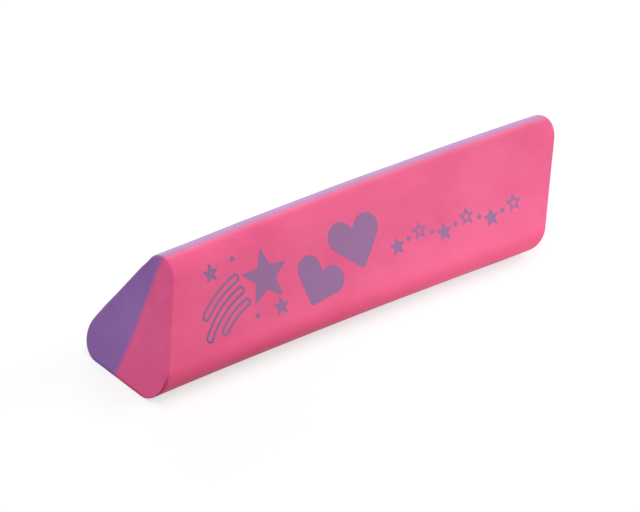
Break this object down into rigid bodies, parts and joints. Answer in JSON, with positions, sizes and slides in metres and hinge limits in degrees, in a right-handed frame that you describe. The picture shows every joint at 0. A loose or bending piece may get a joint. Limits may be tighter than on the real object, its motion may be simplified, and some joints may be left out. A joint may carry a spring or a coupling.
{
  "type": "triangular bar eraser",
  "caption": "Long bar eraser with a rounded triangular section and slanted ends, pink in front and lilac behind, with hearts and stars printed on the pink face.",
  "frame": {"origin": "middle of the overall box, on the plane of the flat base", "axes": "+X along the bar, +Z from the flat base up to the rounded ridge, -Y out of the side with the printed pink face"},
  "size_m": [0.0886, 0.02, 0.02],
  "materials": {
    "pink_rubber": "smooth matte",
    "lilac_rubber": "smooth matte",
    "lilac_ink": "flat printing ink"
  },
  "bodies": {
    "root": {"pink_half": "pink_rubber", "lilac_half": "lilac_rubber", "print_motifs": "lilac_ink"}
  },
  "joints": []
}
